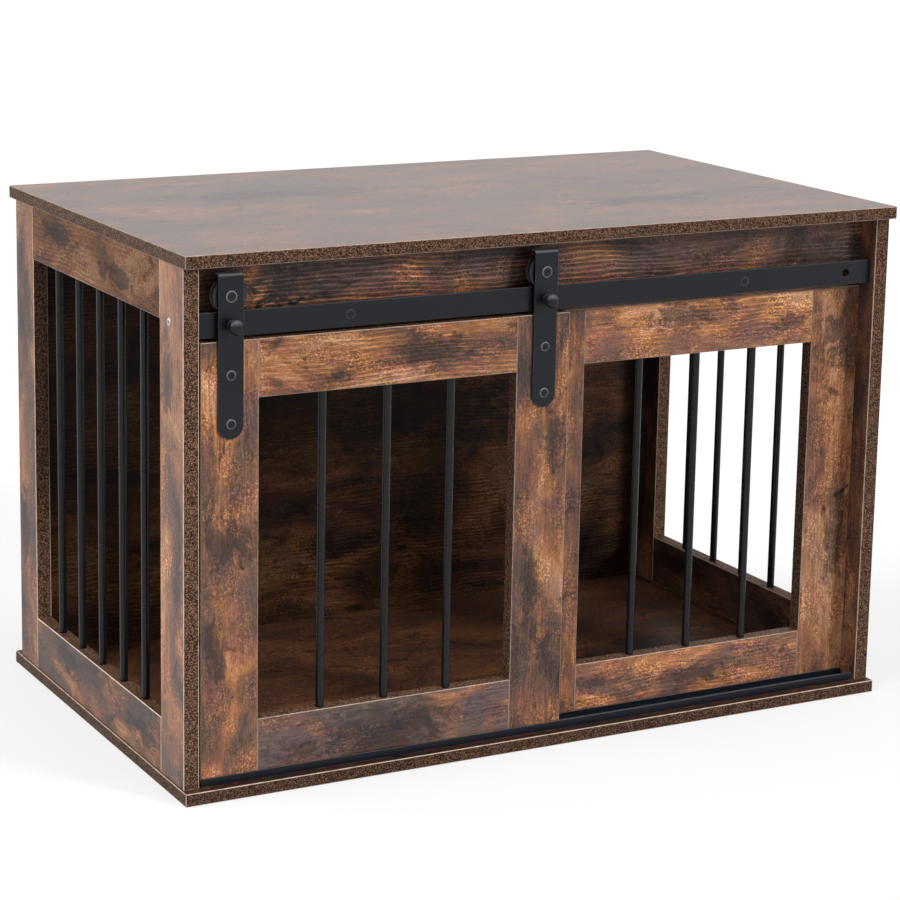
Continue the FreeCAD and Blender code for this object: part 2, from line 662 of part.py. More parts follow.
def door_leaf():
    """Sliding door: barred frame drilled for the strap bolts' sleeve nuts."""
    members, bars, dowels = place_frame(DOOR_FRAME, (DOOR_LEFT, DOOR_FRONT, DOOR_LOW))
    start = DOOR_FRONT - EXTRA
    length = DOOR_THICK + 2 * EXTRA
    holes = [rod((x, start, z), Y_AXIS, SLEEVE_DIA, length, FIXED_CLEAR) for x, z in strap_bolt_sites()]
    return {
        "door_left_stile": drilled(members["first_stile"], holes),
        "door_right_stile": drilled(members["second_stile"], holes),
        "door_top_rail": members["top_rail"],
        "door_bottom_rail": members["bottom_rail"],
        "door_bars": bars,
        "door_dowels": dowels,
    }


def strap_plate(x):
    """Flat strap outline: straight sides, square top, round bottom end."""
    half = STRAP_WIDTH / 2
    centre = FreeCAD.Vector(x, STRAP_FRONT, STRAP_LOW + half)
    corners = [centre + FreeCAD.Vector(half, 0, 0), FreeCAD.Vector(x + half, STRAP_FRONT, STRAP_TOP),
               FreeCAD.Vector(x - half, STRAP_FRONT, STRAP_TOP), centre - FreeCAD.Vector(half, 0, 0)]
    edges = [Part.LineSegment(a, b).toShape() for a, b in zip(corners, corners[1:])]
    edges.append(Part.Arc(corners[3], centre - FreeCAD.Vector(0, 0, half), corners[0]).toShape())
    return Part.Face(Part.Wire(edges)).extrude(Y_AXIS * STRAP_LIP)


def strap_section(x):
    """Side view of the strap, an L with its bend at the top, as wide as the strap."""
    back = STRAP_FRONT + STRAP_THICK
    block_out = block((x - STRAP_WIDTH / 2, x + STRAP_WIDTH / 2), (STRAP_FRONT, STRAP_FRONT + STRAP_LIP),
                      (STRAP_LOW, STRAP_TOP))
    bend = [edge for edge in block_out.Edges if is_bend(edge, STRAP_FRONT, STRAP_TOP)]
    block_in = block((x - STRAP_WIDTH, x + STRAP_WIDTH), (back, STRAP_FRONT + STRAP_LIP + EXTRA),
                     (STRAP_LOW - EXTRA, STRAP_TOP - STRAP_THICK))
    inner = [edge for edge in block_in.Edges if is_bend(edge, back, STRAP_TOP - STRAP_THICK)]
    return block_out.makeFillet(STRAP_BEND, bend).cut(block_in.makeFillet(STRAP_BEND - STRAP_THICK, inner))


def is_bend(edge, y, z):
    """True for the edge along X at the given Y and Z."""
    return all(abs(v.Y - y) < STRAP_EDGE and abs(v.Z - z) < STRAP_EDGE for v in edge.Vertexes)


def hanger_strap(x):
    """Strap with holes for the axle, the lock knob and the two door bolts."""
    solid = strap_section(x).common(strap_plate(x))
    start = STRAP_FRONT - EXTRA
    length = STRAP_THICK + 2 * EXTRA
    holes = [rod((x, start, AXLE_Z), Y_AXIS, AXLE_DIA, length, FIXED_CLEAR),
             rod((x, start, RAIL_MID), Y_AXIS, LOCK_SHANK_DIA, length, RUN_CLEAR)]
    holes += [rod((x, start, z), Y_AXIS, STRAP_BOLT_DIA, length, FIXED_CLEAR) for z in STRAP_SCREW_LEVELS]
    return drilled(solid, holes)


def strap_bolts():
    """Domed bolts from the strap into the sleeve nuts."""
    length = STRAP_THICK + DOOR_THICK - SLEEVE_WEB
    bolt = button_bolt(STRAP_HEAD_DIA, STRAP_HEAD, STRAP_BOLT_DIA, length, BOLT_SOCKET)
    return [pointed(bolt, (x, STRAP_FRONT, z), FORWARD) for x, z in strap_bolt_sites()]


def sleeve_nuts():
    """Flat-headed sleeve nuts let in from the door's back."""
    nuts = []
    for x, z in strap_bolt_sites():
        sleeve = rod((x, DOOR_BACK - SLEEVE_LENGTH, z), Y_AXIS, SLEEVE_DIA, SLEEVE_LENGTH + SLEEVE_HEAD)
        head = rod((x, DOOR_BACK, z), Y_AXIS, SLEEVE_HEAD_DIA, SLEEVE_HEAD)
        bore_length = SLEEVE_LENGTH - SLEEVE_WEB + END_CLEAR + EXTRA
        bore = rod((x, DOOR_BACK - SLEEVE_LENGTH - EXTRA, z), Y_AXIS, STRAP_BOLT_DIA, bore_length, RUN_CLEAR)
        nuts.append(sleeve.fuse(head).cut(bore))
    return nuts


def axle_bolts():
    """Domed bolts that carry the rollers."""
    length = STRAP_THICK + 2 * WASHER + BUSH_LENGTH + AXLE_NUT + AXLE_SHOWS
    bolt = button_bolt(AXLE_HEAD_DIA, AXLE_HEAD, AXLE_DIA, length, AXLE_SOCKET)
    return [pointed(bolt, (x, STRAP_FRONT, AXLE_Z), FORWARD) for x in STRAP_PLACES.values()]


def axle_bushes():
    """Sleeves on the axles, clamped between the washers."""
    return [ring(AXLE_DIA + 2 * BUSH_WALL, AXLE_DIA, RUN_CLEAR, (x, DOOR_FRONT + WASHER, AXLE_Z), Y_AXIS, BUSH_LENGTH)
            for x in STRAP_PLACES.values()]


def axle_washers():
    """A washer each side of each bush."""
    return [ring(WASHER_DIA, AXLE_DIA, RUN_CLEAR, (x, y, AXLE_Z), Y_AXIS, WASHER)
            for x in STRAP_PLACES.values() for y in (DOOR_FRONT, DOOR_FRONT + WASHER + BUSH_LENGTH)]


def axle_nuts():
    """Nuts on the axle bolts, behind the rollers."""
    y = DOOR_FRONT + 2 * WASHER + BUSH_LENGTH
    return [pointed(nut(AXLE_NUT_FLATS, AXLE_NUT, AXLE_DIA), (x, y, AXLE_Z), Y_AXIS) for x in STRAP_PLACES.values()]


def roller(x):
    """Grooved wheel that rides on the rail's upper edge, dished on both sides."""
    half = ROLLER_WIDTH / 2
    groove = RAIL_THICK / 2 + MOVE_CLEAR
    tread = ROLLER_TREAD_DIA / 2
    bore = AXLE_DIA / 2 + BUSH_WALL + RUN_CLEAR
    edges = run((bore, -half), (ROLLER_RADIUS - ROLLER_ROUND, -half), (ROLLER_RADIUS, -half + ROLLER_ROUND),
                (ROLLER_RADIUS, -groove - ROLLER_FLARE), (tread, -groove), (tread, groove),
                (ROLLER_RADIUS, groove + ROLLER_FLARE), (ROLLER_RADIUS, half - ROLLER_ROUND),
                (ROLLER_RADIUS - ROLLER_ROUND, half), (bore, half), (bore, -half))
    dish = [ring(2 * (ROLLER_RADIUS - ROLLER_RIM), 2 * (bore + ROLLER_HUB), 0.0, (0, 0, level), Z_AXIS,
                 ROLLER_DISH) for level in (-half, half - ROLLER_DISH)]
    return pointed(drilled(turned(edges), dish), (x, ROLLER_MID, AXLE_Z), Y_AXIS)


def lock_knob(x):
    """Thumb screw backed off from the rail: shank, collar, neck and domed head."""
    shank_end = -STRAP_THICK - LOCK_SHOWS
    collar = LOCK_TRAVEL + MOVE_CLEAR
    neck = collar + KNOB_COLLAR
    head = neck + KNOB_NECK
    band_top = head + KNOB_ROUND + KNOB_BAND
    radius = KNOB_DIA / 2
    chord = KNOB_ROUND * (1 - 0.5 ** 0.5)
    edges = run((0, shank_end), (LOCK_SHANK_DIA / 2, shank_end), (LOCK_SHANK_DIA / 2, collar),
                (KNOB_COLLAR_DIA / 2, collar), (KNOB_COLLAR_DIA / 2, neck), (KNOB_NECK_DIA / 2, neck),
                (KNOB_NECK_DIA / 2, head), (radius - KNOB_ROUND, head))
    edges.append(corner_round((radius - KNOB_ROUND, head), (radius - chord, head + chord),
                              (radius, head + KNOB_ROUND)))
    edges += run((radius, head + KNOB_ROUND), (radius, band_top))
    edges.append(crown(radius, band_top, band_top + KNOB_CROWN))
    edges += run((0, band_top + KNOB_CROWN), (0, shank_end))
    return pointed(turned(edges), (x, STRAP_FRONT, RAIL_MID), FORWARD)


def all_parts():
    """Every node's name with its solid, or its list of like solids."""
    apron_sites, panel_sites = connector_sites()
    cross = cross_dowels()
    parts = {
        "top_board": top_board(),
        "base_board": base_board(),
        "back_panel": back_panel(),
        "apron_board": apron_board(),
        "bottom_track": bottom_track(),
        "track_screws": [track_screw(x) for x in TRACK_SCREW_PLACES],
        "hanging_rail": hanging_rail(),
        "rail_spacers": rail_spacers(),
        "rail_bolts": rail_bolts(),
        "rail_nuts": rail_nuts(),
        "cam_bolts": [cam_bolt(site) for site in cam_sites()],
        "cam_locks": [cam_lock(site) for site in cam_sites()],
        "apron_side_bolts": [connector_bolt(site) for site in apron_sites],
        "panel_side_bolts": [connector_bolt(site) for site in panel_sites],
        "barrel_nuts": [barrel_nut(site) for site in apron_sites + panel_sites],
        "apron_dowels": cross["apron"],
        "back_panel_dowels": cross["back"],
        "base_screws": [base_screw(x, y) for x, y in BASE_SCREW_PLACES],
        "strap_bolts": strap_bolts(),
        "sleeve_nuts": sleeve_nuts(),
        "axle_bolts": axle_bolts(),
        "axle_bushes": axle_bushes(),
        "axle_washers": axle_washers(),
        "axle_nuts": axle_nuts(),
    }
    parts.update(side_frames())
    parts.update(fixed_panel())
    parts.update(door_leaf())
    for name, x in STRAP_PLACES.items():
        parts[name + "_hanger_strap"] = hanger_strap(x)
        parts[name + "_roller"] = roller(x)
        parts[name + "_lock_knob"] = lock_knob(x)
    return parts


def main():
    """Write one STEP file per node."""
    os.makedirs("parts", exist_ok=True)
    for name, shape in all_parts().items():
        solid = Part.Compound(shape) if isinstance(shape, list) else shape
        solid.exportStep("parts/" + name + ".step")
    print("door travel", round(DOOR_TRAVEL, 3), "lock travel", round(LOCK_TRAVEL, 3))
    print("roller turns per metre of door travel, in radians", round(2000 / ROLLER_TREAD_DIA, 3))


main()
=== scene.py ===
"""Looks and stage for a dog crate end table with a barred sliding door.

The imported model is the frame. Its boards, bars and fittings keep their shapes and get finishes here:
laminate printed as old stained boards, satin black steel, zinc, nylon, bronze and beech.
Lengths are metres and colours are written as they look on a screen, from 0 to 255.
"""

import math
from collections import namedtuple

import bpy
from bpy.props import FloatProperty, FloatVectorProperty, PointerProperty
from mathutils import Matrix

bl_info = {
    "name": "Dog crate end table",
    "version": (1, 0, 0),
    "blender": (4, 5, 0),
    "location": "3D View > Sidebar > Crate",
    "description": "Finishes and a studio stage for a dog crate end table",
    "category": "Object",
}

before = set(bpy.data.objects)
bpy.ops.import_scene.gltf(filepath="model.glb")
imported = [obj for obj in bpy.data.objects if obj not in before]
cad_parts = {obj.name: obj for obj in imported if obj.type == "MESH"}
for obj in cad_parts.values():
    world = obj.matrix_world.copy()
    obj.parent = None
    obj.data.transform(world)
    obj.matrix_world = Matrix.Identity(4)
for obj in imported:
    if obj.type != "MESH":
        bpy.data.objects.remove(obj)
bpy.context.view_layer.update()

AXES = "XYZ"
Stain = namedtuple("Stain", "place length width")
Board = namedtuple("Board", "run face shift warmth slate depth ribs arris gloss stains")

# Every board of the table: the axis its print runs along, the axis its plain faces look along,
# where in the endless print it's cut from, how warm its brown is, how much of it is slate,
# how bright it is (lowered on the back panel and base board as painted shade of the crate's inside),
# how strong its ribs are, how strong the painted highlight on its arrises is, how thick its clear layer is,
# and its two charcoal stains, of which some are painted shadows: along the base board's front strip,
# at the apron's left end and on the panel's right stile.
BOARDS = {
    "top_board": Board("X", "Z", (0.0, 0.0, 0.0), -0.06, 0.70, 0.95, 0.35, 0.45, 0.85, (
        Stain((-0.20, 0.10, 0.66), 0.16, 0.05), Stain((0.24, -0.12, 0.66), 0.12, 0.04))),
    # The base board's first stain is a painted shadow along the strip in front of the track, and its low
    # brightness is painted shade of the crate's inside.
    "base_board": Board("X", "Z", (3.1, 0.4, 0.0), 0.02, 0.30, 0.52, 0.30, 0.70, 0.20, (
        Stain((0.0, -0.293, 0.016), 2.00, 0.013), Stain((0.30, -0.05, 0.016), 0.12, 0.05))),
    # The back panel's low brightness is painted shade of the crate's inside.
    "back_panel": Board("X", "Y", (5.2, 0.0, 0.7), 0.04, 0.30, 0.20, 0.70, 0.00, 0.12, (
        Stain((-0.20, 0.264, 0.40), 0.16, 0.06), Stain((0.15, 0.264, 0.30), 0.14, 0.05))),
    # The apron's first stain is a painted shadow at its left end, beside the left hanger.
    "apron_board": Board("X", "Y", (1.7, 0.0, 2.3), -0.04, 0.55, 1.05, 1.15, 0.40, 0.40, (
        Stain((-0.48, -0.2575, 0.60), 0.13, 0.30), Stain((-0.33, -0.2575, 0.61), 0.08, 0.024))),
    "left_front_stile": Board("Z", "X", (0.0, 1.3, 4.1), 0.05, 0.40, 1.36, 0.25, 1.10, 0.55, (
        Stain((-0.498, -0.27, 0.27), 0.04, 0.018), Stain((-0.498, -0.24, 0.50), 0.06, 0.02))),
    "left_rear_stile": Board("Z", "X", (0.0, 2.9, 6.4), 0.02, 0.40, 1.00, 0.25, 1.10, 0.45, (
        Stain((-0.498, 0.25, 0.50), 0.07, 0.03), Stain((-0.498, 0.26, 0.20), 0.06, 0.02))),
    "left_top_rail": Board("Y", "X", (0.0, 7.7, 1.9), 0.13, 0.00, 0.60, 0.50, 1.10, 0.08, (
        Stain((-0.498, 0.12, 0.62), 0.07, 0.02), Stain((-0.498, -0.08, 0.60), 0.06, 0.02))),
    "left_bottom_rail": Board("Y", "X", (0.0, 9.3, 3.2), -0.04, 0.90, 1.00, 0.35, 1.10, 0.40, (
        Stain((-0.498, 0.10, 0.06), 0.06, 0.02), Stain((-0.498, -0.16, 0.05), 0.05, 0.02))),
    "right_front_stile": Board("Z", "X", (0.0, 4.3, 1.1), 0.00, 0.60, 0.90, 0.25, 0.75, 0.50, (
        Stain((0.498, -0.26, 0.42), 0.08, 0.02), Stain((0.498, -0.25, 0.16), 0.05, 0.02))),
    "right_rear_stile": Board("Z", "X", (0.0, 5.9, 3.4), -0.02, 0.50, 0.78, 0.25, 0.75, 0.50, (
        Stain((0.498, 0.25, 0.36), 0.08, 0.03), Stain((0.498, 0.25, 0.12), 0.05, 0.02))),
    "right_top_rail": Board("Y", "X", (0.0, 1.7, 5.9), 0.02, 0.50, 0.90, 0.45, 0.75, 0.50, (
        Stain((0.498, 0.02, 0.61), 0.08, 0.02), Stain((0.498, -0.18, 0.60), 0.05, 0.02))),
    "right_bottom_rail": Board("Y", "X", (0.0, 3.3, 7.2), -0.04, 0.70, 0.72, 0.35, 0.75, 0.50, (
        Stain((0.498, 0.14, 0.06), 0.07, 0.02), Stain((0.498, -0.10, 0.05), 0.05, 0.02))),
    "panel_left_stile": Board("Z", "Y", (2.2, 0.0, 5.5), 0.02, 0.40, 0.98, 0.25, 0.50, 0.50, (
        Stain((0.02, -0.27, 0.12), 0.05, 0.015), Stain((0.00, -0.27, 0.44), 0.05, 0.012))),
    # Both stains of the panel's right stile are painted shadow of the right side frame.
    "panel_right_stile": Board("Z", "Y", (6.1, 0.0, 8.2), 0.09, 0.35, 1.00, 0.25, 0.50, 0.40, (
        Stain((0.44, -0.27, 0.485), 0.05, 0.030), Stain((0.455, -0.27, 0.22), 0.09, 0.020))),
    "panel_top_rail": Board("X", "Y", (8.4, 0.0, 0.6), 0.13, 0.30, 1.48, 0.55, 0.50, 0.50, (
        Stain((0.20, -0.27, 0.53), 0.05, 0.022), Stain((0.37, -0.27, 0.51), 0.03, 0.012))),
    "panel_bottom_rail": Board("X", "Y", (4.6, 0.0, 3.8), 0.06, 0.40, 1.50, 0.45, 0.50, 0.45, (
        Stain((0.24, -0.27, 0.05), 0.08, 0.016), Stain((0.08, -0.27, 0.06), 0.04, 0.01))),
    "door_left_stile": Board("Z", "Y", (9.2, 0.0, 2.7), 0.04, 0.60, 1.27, 0.25, 0.50, 0.50, (
        Stain((-0.435, -0.283, 0.315), 0.035, 0.05), Stain((-0.455, -0.283, 0.18), 0.04, 0.018))),
    "door_right_stile": Board("Z", "Y", (7.4, 0.0, 6.9), 0.00, 0.50, 0.96, 0.25, 0.50, 0.55, (
        Stain((0.00, -0.283, 0.40), 0.05, 0.014), Stain((-0.03, -0.283, 0.20), 0.06, 0.012))),
    "door_top_rail": Board("X", "Y", (2.8, 0.0, 9.1), 0.08, 0.30, 1.04, 0.60, 0.50, 0.45, (
        Stain((-0.18, -0.283, 0.525), 0.06, 0.02), Stain((-0.30, -0.283, 0.50), 0.03, 0.01))),
    "door_bottom_rail": Board("X", "Y", (6.7, 0.0, 4.4), -0.03, 1.00, 1.50, 0.35, 0.50, 0.55, (
        Stain((-0.22, -0.283, 0.06), 0.10, 0.03), Stain((-0.34, -0.283, 0.04), 0.05, 0.018))),
}

STEEL = ("hanging_rail", "bottom_track", "rail_spacers")
STRAPS = ("left_hanger_strap", "right_hanger_strap")
BARS = ("left_side_bars", "right_side_bars", "panel_bars", "door_bars")
KNOBS = ("left_lock_knob", "right_lock_knob")
BOLTS = ("strap_bolts", "axle_bolts")
RAIL_BOLTS = ("rail_bolts",)
NYLON = ("left_roller", "right_roller")
ZINC = ("apron_side_bolts", "panel_side_bolts", "barrel_nuts", "cam_bolts", "cam_locks", "base_screws",
        "track_screws", "rail_nuts", "sleeve_nuts", "axle_nuts", "axle_washers")
BRONZE = ("axle_bushes",)
DOWELS = ("side_frame_dowels", "panel_dowels", "door_dowels", "apron_dowels", "back_panel_dowels")


def screen(red, green, blue):
    """Linear colour of one written as it looks on a screen."""
    parts = [value / 255 for value in (red, green, blue)]
    return tuple(p / 12.92 if p <= 0.04045 else ((p + 0.055) / 1.055) ** 2.4 for p in parts)


def tint(label, note, red, green, blue):
    """A colour that the sidebar can change."""
    return FloatVectorProperty(name=label, description=note, subtype="COLOR", size=3, min=0.0, max=1.0,
                               default=screen(red, green, blue))


def length(label, note, metres):
    """A length that the sidebar can change."""
    return FloatProperty(name=label, description=note, unit="LENGTH", default=metres, min=0.0)


def share(label, note, value):
    """A number from nothing to all that the sidebar can change."""
    return FloatProperty(name=label, description=note, subtype="FACTOR", default=value, min=0.0, max=1.0)


def power(label, note, value):
    """A strength of light that the sidebar can change."""
    return FloatProperty(name=label, description=note, default=value, min=0.0)


class LaminateLook(bpy.types.PropertyGroup):
    """Colours and grain of the printed laminate."""

    deep: tint("Deep brown", "Darkest of the stained browns", 72, 50, 42)
    brown: tint("Brown", "Main brown", 114, 86, 75)
    rust: tint("Rust", "Redder brown between the main brown and the amber", 140, 98, 77)
    amber: tint("Amber", "Orange worn patches", 180, 126, 86)
    tan: tint("Tan", "Palest worn patches", 204, 158, 122)
    slate: tint("Slate", "Blue-grey weathered patches", 96, 83, 82)
    char: tint("Charcoal", "Small dark stains and cracks", 44, 36, 36)
    plum: tint("Plum tinge", "Cool tinge of the print", 142, 118, 146)
    olive: tint("Olive tinge", "Warm green tinge of the print", 134, 138, 98)
    # Painted highlight along the chamfered edges, rubbed unevenly.
    arris: tint("Arris", "Pale line where a laminate edge is broken", 248, 222, 200)
    band: tint("Edge band", "Dark ground of the edge band", 50, 35, 28)
    band_fleck: tint("Edge band flecks", "Light flecks of the edge band", 168, 128, 104)
    cloud_length: length("Patch length", "Length of the colour patches with the grain", 0.150)
    cloud_width: length("Patch width", "Width of the colour patches", 0.070)
    streak_length: length("Streak length", "Length of a fine streak", 0.020)
    streak_width: length("Streak width", "Width of a fine streak", 0.0014)
    speckle: length("Speckle", "Size of a speck", 0.0014)
    fleck: length("Fleck", "Size of a fleck in the edge band", 0.0010)
    rib_width: length("Rib width", "Spacing of the embossed ribs", 0.0056)
    roughness: share("Print roughness", "Roughness of the print", 0.50)
    gloss: share("Print gloss", "How much light the print itself mirrors", 0.06)
    clear_roughness: share("Clear roughness", "Roughness of the clear layer over the print", 0.36)


class MetalLook(bpy.types.PropertyGroup):
    """Colours of the steel and the small fittings."""

    coat: tint("Black coat", "Powder coat of rail, straps and track", 18, 22, 28)
    # Paler coat along worn edges, also standing in for their highlight, and a painted highlight on faces that
    # look up.
    coat_wear_and_highlight: tint("Worn coat", "Coat along its edges and on top", 138, 141, 146)
    # Painted highlight on a bolt head's rim.
    bolt_rim_highlight: tint("Bolt rim", "Worn rim of a bolt's head", 184, 189, 192)
    bar: tint("Bar coat", "Powder coat of the round bars", 18, 18, 19)
    nylon: tint("Nylon", "Rollers", 22, 22, 23)
    zinc: tint("Zinc", "Plated screws and nuts", 196, 197, 194)
    bronze: tint("Bronze", "Roller bushes", 178, 132, 84)
    beech: tint("Beech", "Dowels", 206, 172, 130)
    coat_roughness: share("Coat roughness", "Roughness of the powder coat", 0.38)
    smooth_roughness: share("Smooth coat roughness", "Roughness of the coat on bars and knobs", 0.26)
    coat_gloss: share("Coat gloss", "How much light the powder coat mirrors", 0.26)


class StageLook(bpy.types.PropertyGroup):
    """Floor, lamps and camera."""

    floor: tint("Floor", "Colour that the floor has as light falls on it", 162, 162, 162)
    floor_lift: share("Floor lift", "What brings the lit floor up to white", 0.62)
    sky_light: power("Sky light", "Strength of the light from all round", 0.36)
    key_power: power("Key lamp", "Strength of the light from the front right", 1.8)
    side_power: power("Side lamp", "Strength of the light from the left", 1.6)
    top_power: power("Top lamp", "Strength of the light from overhead", 0.9)
    lens: FloatProperty(name="Lens", description="Focal length", subtype="DISTANCE_CAMERA", default=107.816)


class CrateLook(bpy.types.PropertyGroup):
    """Everything about the table's looks that a user would change."""

    laminate: PointerProperty(type=LaminateLook)
    metal: PointerProperty(type=MetalLook)
    stage: PointerProperty(type=StageLook)


# Shader building


class Wire:
    """One output of a node. Arithmetic on it adds Math nodes beside that node."""

    def __init__(self, nodes, socket):
        self.nodes = nodes
        self.socket = socket

    def math(self, operation, first, second=0.0):
        return self.nodes.node("Math", {"operation": operation}, {0: first, 1: second})

    def __add__(self, other):
        return self.math("ADD", self, other)

    def __radd__(self, other):
        return self.math("ADD", other, self)

    def __sub__(self, other):
        return self.math("SUBTRACT", self, other)

    def __rsub__(self, other):
        return self.math("SUBTRACT", other, self)

    def __mul__(self, other):
        return self.math("MULTIPLY", self, other)

    def __rmul__(self, other):
        return self.math("MULTIPLY", other, self)

    def __abs__(self):
        return self.math("ABSOLUTE", self)

    def wave(self):
        """Sine of the value."""
        return self.math("SINE", self)

    def above(self, edge):
        """One where the value is over the edge, and nothing elsewhere."""
        return self.math("GREATER_THAN", self, edge)


# Numbers of a Mix node's sockets when it mixes colours
MIX_FACTOR, MIX_FIRST, MIX_SECOND, MIX_RESULT = 0, 6, 7, 2


class Nodes:
    """The nodes of a material or of the world, in the making."""

    def __init__(self, tree):
        self.tree = tree
        self.tree.nodes.clear()

    def join(self, value, socket):
        """Link a wire to a socket, or write a plain value on it."""
        if isinstance(value, Wire):
            self.tree.links.new(value.socket, socket)
        elif socket.type == "RGBA":
            socket.default_value = (*tuple(value)[:3], 1.0)
        else:
            socket.default_value = value

    def node(self, kind, settings=None, inputs=None, output=0):
        """Any node: its settings are made first, then its sockets, and one output comes back as a wire."""
        made = self.tree.nodes.new("ShaderNode" + kind)
        for name, value in (settings or {}).items():
            if name == "stops":
                self.fill_ramp(made.color_ramp, value)
            else:
                setattr(made, name, value)
        for name, value in (inputs or {}).items():
            self.join(value, made.inputs[name])
        return Wire(self, made.outputs[output])

    def fill_ramp(self, ramp, stops):
        """Write a ramp's stops, each a position and a colour."""
        while len(ramp.elements) < len(stops):
            ramp.elements.new(0.5)
        for element, (position, colour) in zip(ramp.elements, stops):
            element.position = position
            element.color = (*tuple(colour)[:3], 1.0)

    def vector(self, operation, *values):
        """A Vector Math node."""
        return self.node("VectorMath", {"operation": operation}, dict(enumerate(values)))

    def scaled(self, place, times):
        """A vector multiplied by one number, or by one for each axis."""
        return self.vector("MULTIPLY", place, times if isinstance(times, tuple) else (times,) * 3)

    def part(self, place, axis):
        """One number of a vector."""
        return self.node("SeparateXYZ", {}, {0: place}, AXES.index(axis))

    def mix(self, factor, first, second, mode="MIX"):
        """A mix of two colours."""
        inputs = {MIX_FACTOR: factor, MIX_FIRST: first, MIX_SECOND: second}
        return self.node("Mix", {"data_type": "RGBA", "blend_type": mode}, inputs, MIX_RESULT)

    def shade(self, colour, brightness):
        """A colour made lighter or darker by a number."""
        return self.node("VectorMath", {"operation": "SCALE"}, {0: colour, "Scale": brightness})

    def noise(self, place, detail=2.0, roughness=0.5, distortion=0.0, output=0):
        """Soft noise with cells one unit of the place wide."""
        inputs = {"Vector": place, "Scale": 1.0, "Detail": detail, "Roughness": roughness,
                  "Distortion": distortion}
        return self.node("TexNoise", {}, inputs, output)

    def fade(self, value, low, high):
        """Nothing below low, one above high, and a smooth rise between."""
        return self.node("MapRange", {"interpolation_type": "SMOOTHSTEP"}, {0: value, 1: low, 2: high})

    def spread(self, value, low, high):
        """A number stretched so that low becomes nothing and high becomes one."""
        return self.node("MapRange", {}, {0: value, 1: low, 2: high})

    def grains(self, place):
        """A chance number for each grain one unit of the place wide."""
        return self.part(self.node("TexVoronoi", {}, {"Vector": place, "Scale": 1.0}, "Color"), "X")

    def own(self, name, output):
        """A value that the piece itself carries."""
        return self.node("Attribute", {"attribute_type": "OBJECT", "attribute_name": name}, output=output)


class Finish(Nodes):
    """A material in the making, with its Principled shader."""

    def __init__(self, name):
        self.material = bpy.data.materials.new(name)
        self.material.use_nodes = True
        super().__init__(self.material.node_tree)
        self.surface = self.tree.nodes.new("ShaderNodeBsdfPrincipled")
        shown = self.tree.nodes.new("ShaderNodeOutputMaterial")
        self.tree.links.new(self.surface.outputs[0], shown.inputs[0])

    def set(self, **sockets):
        """Give the Principled shader its values, with underscores for the spaces in a socket's name."""
        for name, value in sockets.items():
            self.join(value, self.surface.inputs[name.replace("_", " ").title().replace("Ior", "IOR")])

    def facing(self, axis):
        """How squarely the surface looks along an axis of the piece, either way."""
        return abs(self.part(self.node("TexCoord", output="Normal"), axis))

    def relief(self, height, strength, depth, **more):
        """A normal with fine relief: its strength, its depth in metres and any normal under it."""
        inputs = {"Strength": strength, "Distance": depth, "Height": height, **more}
        return self.node("Bump", {}, inputs)


# The laminate. The marks of its print: how long each is with the grain, how wide across it, where in the
# noise it's taken from, and the noise's detail, roughness and distortion.
Mark = namedtuple("Mark", "length width step detail roughness distortion")
UNMOVED = (0.0, 0.0, 0.0)
BANDS = Mark(0.140, 0.005, UNMOVED, 2.0, 0.60, 0.0)
SPECKLED = Mark(0.045, 0.030, (3.3, 6.1, 0.7), 4.0, 0.60, 0.0)
RIB_DRIFT = Mark(0.220, 0.050, (4.0, 2.0, 9.0), 2.0, 0.50, 0.0)
RIBBED = Mark(0.200, 0.070, (1.7, 4.2, 2.9), 3.0, 0.50, 0.0)
SLATE = Mark(0.120, 0.065, (11.3, 5.1, 8.7), 5.0, 0.58, 0.9)
RAGGED = Mark(0.030, 0.018, (2.3, 15.7, 21.1), 5.0, 0.66, 1.0)
STAINS = Mark(0.075, 0.045, (7.3, 1.7, 13.1), 5.0, 0.62, 1.4)
CRACKS = Mark(0.100, 0.014, (31.0, 8.0, 3.0), 3.0, 0.60, 0.8)

# Cells of the marks that don't follow the grain, in one metre
SWAY_CELLS = 7.0
TINGE_CELLS = 34.0
RUBBED_CELLS = 60.0

# Where the noise of each mark starts to show and where it shows in full
SPECK_EDGE = (0.45, 0.95)
SPECKLED_EDGE = (0.42, 0.60)
RIB_EDGE = (-0.1, 1.1)
RIBBED_EDGE = (0.48, 0.62)
SLATE_EDGE = (0.47, 0.60)
STRAY_EDGE = (0.60, 0.68)
STAIN_OR_SHADOW_EDGE = (0.35, 1.15)
CRACK_EDGE = (0.002, 0.012)
CRACKED_EDGE = (0.50, 0.60)
FLECK_EDGE = (0.46, 1.02)

# Places of the colours on the two ramps
BROWN_STOPS = (0.31, 0.42, 0.51, 0.61, 0.73)
TINGE_STOPS = (0.38, 0.50, 0.62)

MIDDLE = 0.5                # what noise comes to on average
NOISE_SPAN = (0.3, 0.7)     # where nearly all of it lies
SQUARE_ON = 0.9             # how squarely a plain face looks along its axis, at the least
SWAY_REACH = 0.016          # how far the print wanders from straight
SPECK_STRETCH = 1.4         # length of a speck to its width
SPECK_MEAN = 0.35
SPECK_FLOOR = 0.3           # what is left of the specks where the print is calm
RIB_WANDER = 26.0           # radians that drift moves the ribs by
RIB_MEAN = 0.34
RIB_FRAY = 1.1              # how far streaks break the ribs up
RIB_SPREAD = 0.10           # how much more ground strong ribs take
TOP_CONTRAST = 0.5          # of the colour patches on the top and the base
CONTRAST = 1.2              # of the same on all other boards
BAND_TONE = 0.05            # how far each mark moves the browns
STREAK_TONE = 0.03
SPECK_TONE = 0.05
STREAK_LIGHT = {"X": 0.58, "Y": 0.44, "Z": 0.44}    # how far each mark lightens them
SPECK_LIGHT = 0.9
BAND_LIGHT = 0.18
STREAK_HEIGHT = 0.5         # how high each mark stands in the relief
RIB_HEIGHT = 2.4
SPECK_HEIGHT = 0.6
SLATE_COVER = 0.85
